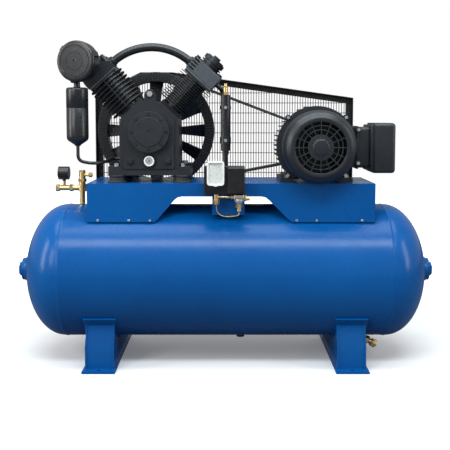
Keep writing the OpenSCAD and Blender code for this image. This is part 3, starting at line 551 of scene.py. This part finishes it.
def build_flywheel_ribs():
    """Shallow radial ribs on the front of the rim and cross ribs on each fan blade."""
    bm = bmesh.new()
    count = 120
    hub = Matrix.Translation(CRANK)
    for i in range(count):
        a = 2 * math.pi * i / count
        out = Vector((math.cos(a), 0, math.sin(a)))
        front = Vector((0, RIM_Y0, 0))
        rib(bm, hub, out * (FLY_R - 0.0365) + front, out * (FLY_R - 0.0015) + front, 0.0030, 0.0030)
    from_bmesh("flywheel_rim_ribs", bm, PUMP, "crank")
    bm = bmesh.new()
    tilt, blades, rows = math.radians(24), 12, 13
    inner, outer = 0.062, 0.190
    for i in range(blades):
        base = hub @ Matrix.Rotation(2 * math.pi * i / blades, 4, "Y") \
            @ Matrix.Translation((0, (RIM_Y0 + RIM_Y1) / 2, 0)) @ Matrix.Rotation(tilt, 4, "X")
        for j in range(rows):
            x = inner + (outer - inner) * j / (rows - 1)
            half = 0.009 + 0.021 * (x - 0.040) / 0.172 - 0.0012
            rib(bm, base, Vector((x, -0.003, -half)), Vector((x, -0.003, half)), 0.0016, 0.0028)
    from_bmesh("flywheel_blade_ribs", bm, PUMP, "crank")


build_flywheel_ribs()


# ---- solid helpers ----

def rounded_box(bm, lo, hi, radius, segments=4):
    """A box between two corners with every edge rounded."""
    lo, hi = Vector(lo), Vector(hi)
    made = bmesh.ops.create_cube(bm, size=1.0)
    for v in made["verts"]:
        v.co = Vector([lo[i] + (v.co[i] + 0.5) * (hi[i] - lo[i]) for i in range(3)])
    if radius > 0:
        edges = list({e for v in made["verts"] for e in v.link_edges})
        bmesh.ops.bevel(bm, geom=edges, offset=radius, segments=segments, profile=0.5, affect="EDGES",
                        clamp_overlap=True)


def box_at(bm, matrix, lo, hi):
    """A plain box between two corners in the matrix's frame."""
    vs = [bm.verts.new(matrix @ Vector((x, y, z)))
          for x in (lo[0], hi[0]) for y in (lo[1], hi[1]) for z in (lo[2], hi[2])]
    for q in ((0, 1, 3, 2), (4, 6, 7, 5), (0, 4, 5, 1), (2, 3, 7, 6), (0, 2, 6, 4), (1, 5, 7, 3)):
        bm.faces.new([vs[k] for k in q])


def prism(bm, outline, y0, y1, hole=None):
    """A plate in X and Z between y0 and y1; a hole has as many points as the outline."""
    def ring(points, y):
        return [bm.verts.new((x, y, z)) for x, z in points]
    n = len(outline)
    front, back = ring(outline, y0), ring(outline, y1)
    for i in range(n):
        j = (i + 1) % n
        bm.faces.new((front[i], front[j], back[j], back[i]))
    if hole is None:
        bm.faces.new(front)
        bm.faces.new(list(reversed(back)))
        return
    inner_front, inner_back = ring(hole, y0), ring(hole, y1)
    for i in range(n):
        j = (i + 1) % n
        bm.faces.new((inner_front[j], inner_front[i], inner_back[i], inner_back[j]))
        bm.faces.new((front[j], front[i], inner_front[i], inner_front[j]))
        bm.faces.new((back[i], back[j], inner_back[j], inner_back[i]))


def rounded_outline(x0, x1, z0, z1, r, steps=6, dip=0.0):
    """Corners of a rounded rectangle; dip pulls the middle of the lower edge down to a soft point."""
    pts = []
    corners = ((x1 - r, z1 - r, 0), (x0 + r, z1 - r, 90), (x0 + r, z0 + r, 180), (x1 - r, z0 + r, 270))
    for cx, cz, a0 in corners:
        for i in range(steps + 1):
            a = math.radians(a0 + 90 * i / steps)
            pts.append((cx + r * math.cos(a), cz + r * math.sin(a)))
        if a0 == 180 and dip:
            mid, half = (x0 + x1) / 2, (x1 - x0) / 2 - r
            for t in (-0.45, -0.2, 0.0, 0.2, 0.45):
                pts.append((mid + t * half, z0 - dip * math.cos(t * math.pi)))
    return pts


def carve(piece, cutter):
    """Cuts one mesh object from another for good, and drops the cutter."""
    m = piece.modifiers.new("carve", "BOOLEAN")
    m.operation = "DIFFERENCE"
    m.solver = "EXACT"
    m.object = cutter
    bpy.context.view_layer.update()
    mesh = bpy.data.meshes.new_from_object(piece.evaluated_get(bpy.context.evaluated_depsgraph_get()))
    piece.modifiers.clear()
    piece.data = mesh
    bpy.data.objects.remove(cutter)


def plain(name, bm):
    """A mesh object that is only a tool for carving."""
    bmesh.ops.recalc_face_normals(bm, faces=bm.faces)
    mesh = bpy.data.meshes.new(name)
    bm.to_mesh(mesh)
    bm.free()
    o = bpy.data.objects.new(name, mesh)
    SCENE.collection.objects.link(o)
    return o


# ---- motor end: fan cowl and terminal box ----

def build_fan_cowl():
    axis = along(MOTOR, (0, -1, 0))
    bm = bmesh.new()
    revolve(bm, [(0.0905, 0.2295), (0.0905, 0.2345), (0.0912, 0.2350), (0.1035, 0.2350), (0.1050, 0.2344),
                 (0.1062, 0.2322), (0.1120, 0.2288), (0.1190, 0.2228), (0.1250, 0.2148), (0.1290, 0.2055),
                 (0.1308, 0.1960), (0.1310, 0.1850), (0.1310, 0.1030), (0.1302, 0.1003), (0.1226, 0.1003),
                 (0.1226, 0.1980), (0.1180, 0.2095), (0.1030, 0.2240)], axis, 144, close=True)
    for r in (0.0770, 0.0620):
        w, t = 0.0016, 0.0005
        revolve(bm, [(r - w, 0.2300), (r - w, 0.2344), (r - w + t, 0.2349), (r + w - t, 0.2349),
                     (r + w, 0.2344), (r + w, 0.2300)], axis, 120, close=True)
    revolve(bm, [(0.0, 0.2300), (0.0455, 0.2300), (0.0455, 0.2342), (0.0447, 0.2350), (0.0300, 0.2350),
                 (0.0282, 0.2357), (0.0270, 0.2369), (0.0255, 0.2373), (0.0, 0.2374)], axis, 96)
    for i in range(16):
        turn = axis @ Matrix.Rotation(math.pi / 8 * i, 4, "Z")
        vs = [bm.verts.new(turn @ Vector((x, s * w, h)))
              for h, w in ((0.2302, 0.0017), (0.2342, 0.0017), (0.2348, 0.0012))
              for x in (0.0450, 0.0915) for s in (-1, 1)]
        for q in ((0, 1, 3, 2), (0, 2, 6, 4), (1, 5, 7, 3), (0, 4, 5, 1), (2, 3, 7, 6),
                  (4, 6, 10, 8), (5, 9, 11, 7), (4, 8, 9, 5), (6, 7, 11, 10), (8, 10, 11, 9)):
            bm.faces.new([vs[k] for k in q])
    cowl = from_bmesh("fan_cowl", bm, MOTORM)
    bm = bmesh.new()
    for i in range(6):
        place = axis @ Matrix.Rotation(math.pi / 3 * i, 4, "Z") @ Matrix.Translation((0, 0.0350, 0.2350))
        revolve(bm, [(0.0013, -0.0008), (0.0013, 0.0005), (0.0026, 0.0007), (0.0032, 0.0002),
                     (0.0032, -0.0008)], place, 20, close=True)
    from_bmesh("cowl_hub_screws", bm, DARK_BOLT)
    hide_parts("fan_cover")


def build_terminal_box():
    lo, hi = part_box("terminal_lid")
    bm = bmesh.new()
    rounded_box(bm, (lo[0] - 0.02, lo[1], lo[2]), hi, 0.013, 6)
    shell = from_bmesh("terminal_cover", bm, MOTORM)
    shell.modifiers.clear()
    wall = 0.006
    bm = bmesh.new()
    rounded_box(bm, (lo[0] - 0.05, lo[1] - 0.01, lo[2] - 0.01), (lo[0], hi[1] + 0.01, hi[2] + 0.01), 0.0)
    carve(shell, plain("open_side", bm))
    bm = bmesh.new()
    rounded_box(bm, (lo[0] - 0.02, lo[1] + wall, lo[2] + wall), (hi[0] - wall, hi[1] - 0.008, hi[2] - wall),
                0.008, 3)
    carve(shell, plain("cavity", bm))
    bm = bmesh.new()
    revolve(bm, [(0.0, -0.012), (0.016, -0.012), (0.016, 0.004), (0.0, 0.004)],
            along((0.583, hi[1], 0.795), (0, 1, 0)), 48)
    carve(shell, plain("gland_hole", bm))
    set_material(shell, MOTORM)
    smooth(shell)
    shell.modifiers.new("split", "EDGE_SPLIT").split_angle = SPLIT_ANGLE
    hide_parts("terminal_lid")
    a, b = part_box("terminal_box")
    bm = bmesh.new()
    rounded_box(bm, (a[0], -0.086, 0.722), (b[0] - 0.010, 0.046, 0.872), 0.012, 5)
    rounded_box(bm, (b[0] - 0.016, a[1] + 0.003, a[2] + 0.003), (b[0] - 0.0004, b[1] - 0.003, b[2] - 0.003),
                0.0045, 3)
    rounded_box(bm, (a[0], -0.090, 0.718), (a[0] + 0.008, 0.050, 0.876), 0.003, 2)
    rounded_box(bm, (b[0] - 0.006, -0.0962, 0.7098), (b[0] + 0.006, 0.0542, 0.8802), 0.003, 2)
    neck = from_bmesh("terminal_neck", bm, MOTORM)
    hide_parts("terminal_box")


build_fan_cowl()
build_terminal_box()


# ---- intake filter and bottle ----

def build_filter():
    turn = Matrix.Rotation(-FILTER_YAW, 4, "Z")
    axis = along(FILTER, turn @ Vector((0, -1, 0)))
    r = FILTER_R
    bm = bmesh.new()
    revolve(bm, [(0.0, 0.0014), (0.0036, 0.0014), (0.0042, 0.0026), (0.0056, 0.0030), (0.0064, 0.0026),
                 (0.0068, 0.0022), (0.0300, 0.0022), (0.0306, 0.0012), (0.0320, 0.0012), (0.0326, 0.0022),
                 (0.0522, 0.0020), (0.0534, 0.0002), (0.0560, 0.0002), (0.0572, 0.0012), (0.0640, 0.0010),
                 (0.0680, 0.0000), (r - 0.0022, -0.0024), (r - 0.0006, -0.0058), (r, -0.0100), (r, -0.0190),
                 (r - 0.0006, -0.0200), (r - 0.0045, -0.0200), (r - 0.0045, -0.0100), (r - 0.0100, -0.0060),
                 (0.0, -0.0050)], axis, 128)
    cover = from_bmesh("filter_lid", bm, SATIN)
    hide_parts("filter_cover")
    bm = bmesh.new()
    for deg in (20, 140, 260):
        m = axis @ Matrix.Rotation(math.radians(deg), 4, "Z")
        w = 0.009
        spine = ((r - 0.0012, -0.0070), (r + 0.0016, -0.0080), (r + 0.0030, -0.0180), (r + 0.0030, -0.0320),
                 (r + 0.0016, -0.0400), (r - 0.0018, -0.0440))
        rings = []
        for x, z in spine:
            rings.append([bm.verts.new(m @ Vector((x + dx, s * w, z)))
                          for dx in (0.0, 0.0018) for s in (-1, 1)])
        for p, q in zip(rings, rings[1:]):
            for i, j in ((0, 1), (1, 3), (3, 2), (2, 0)):
                bm.faces.new((p[i], p[j], q[j], q[i]))
        for e in (rings[0], rings[-1]):
            bm.faces.new((e[0], e[1], e[3], e[2]))
    from_bmesh("filter_clips", bm, SATIN, bevel=0.0006)
    lo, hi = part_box("breather_bottle")
    foot = Vector(((lo[0] + hi[0]) / 2, (lo[1] + hi[1]) / 2, lo[2]))
    h = hi[2] - lo[2]
    bm = bmesh.new()
    revolve(bm, [(0.0, 0.0), (0.0080, 0.0), (0.0095, 0.0015), (0.0120, 0.0050), (0.0330, 0.0190),
                 (0.0370, 0.0240), (0.0388, 0.0310), (0.0390, 0.0380), (0.0390, 0.1330), (0.0382, 0.1342),
                 (0.0382, 0.1360), (0.0390, 0.1372), (0.0390, 0.1980), (0.0384, 0.2030), (0.0364, 0.2062),
                 (0.0330, 0.2078), (0.0140, 0.2082), (0.0120, 0.2096), (0.0112, 0.2140),
                 (0.0112, h - 0.004), (0.0, h - 0.004)], Matrix.Translation(foot), 72)
    bottle = from_bmesh("separator_bottle", bm, SATIN)
    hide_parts("breather_bottle")


build_filter()


# ---- pressure switch, sight glass and gauge ----

def build_switch():
    lo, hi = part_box("switch_window")
    outer = rounded_outline(lo[0] + 0.0005, hi[0] - 0.0005, lo[2] + 0.004, hi[2] - 0.0005, 0.010, dip=0.0035)
    inner = rounded_outline(lo[0] + 0.0065, hi[0] - 0.0065, lo[2] + 0.0100, hi[2] - 0.0065, 0.004, dip=0.0015)
    bm = bmesh.new()
    prism(bm, outer, lo[1] + 0.0003, hi[1], inner)
    rim = from_bmesh("window_frame", bm, WHITE, bevel=0.0014, segments=3)
    card = rounded_outline(lo[0] + 0.0066, hi[0] - 0.0066, lo[2] + 0.0101, hi[2] - 0.0066, 0.004, dip=0.0015)
    bm = bmesh.new()
    prism(bm, card, lo[1] + 0.0075, lo[1] + 0.0095)
    from_bmesh("window_card", bm, CARD)
    bm = bmesh.new()
    prism(bm, card, lo[1] + 0.0015, lo[1] + 0.0027)
    from_bmesh("window_pane", bm, GLASS)
    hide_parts("switch_window")
    a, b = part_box("switch_valve")
    mid = Vector(((a[0] + b[0]) / 2, (a[1] + b[1]) / 2, 0))
    bm = bmesh.new()
    rounded_box(bm, (a[0] + 0.0010, a[1] + 0.0010, b[2] - 0.0225), (b[0] - 0.0010, b[1] - 0.0010, b[2]),
                0.0025, 3)
    revolve(bm, [(0.0, a[2]), (0.0085, a[2]), (0.0105, a[2] + 0.0015), (0.0145, a[2] + 0.0035),
                 (0.0176, a[2] + 0.0085), (0.0180, a[2] + 0.0130), (0.0172, a[2] + 0.0175),
                 (0.0, a[2] + 0.0190)], Matrix.Translation(mid), 56)
    for z in (0.0060, 0.0105):
        rounded_box(bm, (a[0] + 0.0022, a[1] + 0.0002, b[2] - z),
                    (b[0] - 0.0022, a[1] + 0.0020, b[2] - z + 0.0014), 0.0005, 2)
    valve = from_bmesh("unloader_valve", bm, NICKEL)
    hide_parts("switch_valve")


def build_sight_glass():
    lo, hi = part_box("sight_glass")
    c = Vector(((lo[0] + hi[0]) / 2, lo[1], (lo[2] + hi[2]) / 2))
    axis = along(c, (0, -1, 0))
    bm = bmesh.new()
    revolve(bm, [(0.0135, -0.0130), (0.0135, -0.0016), (0.0145, -0.0004), (0.0172, 0.0), (0.0186, -0.0012),
                 (0.0190, -0.0035), (0.0190, -0.0130)], axis, 64, close=True)
    ring = from_bmesh("sight_ring", bm, WHITE)
    bm = bmesh.new()
    revolve(bm, [(0.0, -0.0050), (0.0134, -0.0050), (0.0134, -0.0075), (0.0, -0.0075)], axis, 48)
    from_bmesh("sight_reflector", bm, ALLOY)
    bm = bmesh.new()
    revolve(bm, [(0.0022, -0.0048), (0.0022, -0.0042), (0.0042, -0.0042), (0.0042, -0.0048)], axis, 32,
            close=True)
    from_bmesh("sight_level_ring", bm, RUBBER)
    bm = bmesh.new()
    revolve(bm, [(0.0, -0.0012), (0.0090, -0.0016), (0.0134, -0.0024), (0.0134, -0.0036), (0.0, -0.0032)],
            axis, 48)
    from_bmesh("sight_lens", bm, GLASS)
    bm = bmesh.new()
    # a dark ring of black moulding round the sight glass
    revolve(bm, [(0.0192, -0.0130), (0.0192, -0.0050), (0.0200, -0.0042), (0.0232, -0.0042),
                 (0.0244, -0.0060), (0.0246, -0.0130)], axis, 64, close=True)
    from_bmesh("sight_dark_ring", bm, PLASTIC)
    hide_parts("sight_glass")


def build_gauge_face():
    lo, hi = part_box("gauge_case")
    c = Vector((lo[0], (lo[1] + hi[1]) / 2, hi[2] - 0.025))
    axis = along(c, (-1, 0, 0))
    bm = bmesh.new()
    revolve(bm, [(0.0018, -0.0052), (0.0018, -0.0044), (0.0219, -0.0044), (0.0219, -0.0052)], axis, 64,
            close=True)
    from_bmesh("gauge_dial", bm, WHITE)
    bm = bmesh.new()
    for i in range(28):
        a = math.radians(-135 + 10 * i)
        length = 0.0045 if i % 3 == 0 else 0.0022
        m = axis @ Matrix.Rotation(a, 4, "Z")
        box_at(bm, m, (-0.0003, 0.0195 - length, -0.0044), (0.0003, 0.0195, -0.0041))
    from_bmesh("gauge_ticks", bm, PLASTIC)
    bm = bmesh.new()
    revolve(bm, [(0.0, -0.0008), (0.0219, -0.0010), (0.0219, -0.0018), (0.0, -0.0016)], axis, 64)
    from_bmesh("gauge_lens", bm, GLASS)


build_switch()
build_sight_glass()
build_gauge_face()


# ---- stage, light and camera ----

WORLD_GLOW = 0.46
# glow of the floor inside its painted shadow round the object; far out the floor glows at 1.0
FLOOR_GLOW_IN_PAINTED_SHADOW = 0.10


def floor_material():
    """Pale sweep that glows for the camera, its glow dimmed in an oval round the object as a painted shadow
    over the real soft shadow, and sends little light back up under the object.
    """
    k = Tree("pale_floor")
    n = k.noise(1.5, 3.0)
    tone = k.ramp(n, "Fac", [(0.3, (0.88, 0.88, 0.885)), (0.7, (0.91, 0.91, 0.91))])
    k.link(tone, "Color", k.bsdf, "Base Color")
    k.put("Roughness", 0.7)
    k.put("Specular IOR Level", 0.0)
    k.put("Emission Color", (1.0, 1.0, 1.0, 1.0))
    oval = k.t.nodes.new("ShaderNodeMapping")
    oval.inputs["Scale"].default_value = (0.32, 0.42, 1.0)
    painted_shadow_gradient = k.t.nodes.new("ShaderNodeTexGradient")
    painted_shadow_gradient.gradient_type = "SPHERICAL"
    k.link(k.coord, "Object", oval, "Vector")
    k.link(oval, "Vector", painted_shadow_gradient, "Vector")
    # painted shadow: the floor's glow falls from full strength far out to its low level in an oval round the
    # object
    glow = k.grey(painted_shadow_gradient, "Fac", 1.0, FLOOR_GLOW_IN_PAINTED_SHADOW, 0.05, 0.62)
    k.link(glow, "Color", k.bsdf, "Emission Strength")
    dim = k.t.nodes.new("ShaderNodeBsdfDiffuse")
    dim.inputs["Color"].default_value = (0.16, 0.165, 0.18, 1.0)
    path = k.t.nodes.new("ShaderNodeLightPath")
    mix = k.t.nodes.new("ShaderNodeMixShader")
    k.link(path, "Is Camera Ray", mix, "Fac")
    k.t.links.new(dim.outputs["BSDF"], mix.inputs[1])
    k.t.links.new(k.bsdf.outputs["BSDF"], mix.inputs[2])
    k.link(mix, "Shader", k.out, "Surface")
    return k.mat


def build_stage():
    bm = bmesh.new()
    half = 9.0
    vs = [bm.verts.new((x, y, 0.0)) for x, y in ((-half, -half), (half, -half), (half, half), (-half, half))]
    bm.faces.new(vs)
    mesh = bpy.data.meshes.new("floor")
    bm.to_mesh(mesh)
    bm.free()
    o = bpy.data.objects.new("floor", mesh)
    SCENE.collection.objects.link(o)
    mesh.materials.append(floor_material())


def build_world():
    """White behind everything; a dimmer even glow is what falls on the object."""
    w = bpy.data.worlds.new("studio")
    SCENE.world = w
    w.use_nodes = True
    t = w.node_tree
    white = t.nodes["Background"]
    white.inputs["Color"].default_value = (1.0, 1.0, 1.0, 1.0)
    white.inputs["Strength"].default_value = 1.0
    glow = t.nodes.new("ShaderNodeBackground")
    glow.inputs["Color"].default_value = (0.97, 0.985, 1.0, 1.0)
    glow.inputs["Strength"].default_value = WORLD_GLOW
    path = t.nodes.new("ShaderNodeLightPath")
    mix = t.nodes.new("ShaderNodeMixShader")
    t.links.new(path.outputs["Is Camera Ray"], mix.inputs["Fac"])
    t.links.new(glow.outputs["Background"], mix.inputs[1])
    t.links.new(white.outputs["Background"], mix.inputs[2])
    t.links.new(mix.outputs["Shader"], t.nodes["World Output"].inputs["Surface"])
    SCENE.view_settings.view_transform = "Standard"


def area(name, loc, target, size, power, size_y=None, tint=(1.0, 1.0, 1.0)):
    """A rectangular lamp at loc that faces target."""
    d = bpy.data.lights.new(name, "AREA")
    d.energy = power
    d.color = tint
    d.shape = "RECTANGLE"
    d.size = size
    d.size_y = size_y or size
    o = bpy.data.objects.new(name, d)
    SCENE.collection.objects.link(o)
    o.location = loc
    o.rotation_euler = (Vector(target) - Vector(loc)).to_track_quat("-Z", "Y").to_euler()


COOL = (0.86, 0.96, 1.0)


def build_lights():
    area("top_box", (0.0, -0.3, 3.2), (0, -0.1, 0.5), 3.4, 66, 1.4, COOL)
    area("streak", (0.0, -1.75, 2.7), (0, -0.1, 0.5), 2.8, 54, 0.55, COOL)
    area("front_left", (-2.4, -3.0, 2.2), (0, 0, 0.6), 1.2, 38, 1.8)
    area("side_right", (3.0, -1.2, 1.6), (0, 0, 0.6), 0.7, 28, 2.0)
    area("side_left", (-3.0, -1.0, 1.5), (0, 0, 0.6), 0.7, 34, 2.0)


SENSOR_MM, LENS_MM = 36.0, 62.16
CAMERA_AT = (-0.002, -2.939, 0.907)
CAMERA_DOWN = math.radians(4.6)


def build_camera():
    cam = bpy.data.cameras.new("photo_view")
    o = bpy.data.objects.new("photo_view", cam)
    SCENE.collection.objects.link(o)
    SCENE.camera = o
    cam.sensor_width = SENSOR_MM
    cam.lens = LENS_MM
    cam.shift_y = -0.10
    cam.clip_end = 60
    o.location = CAMERA_AT
    o.rotation_euler = (math.pi / 2 - CAMERA_DOWN, 0, 0)


build_stage()
build_world()
build_lights()
build_camera()
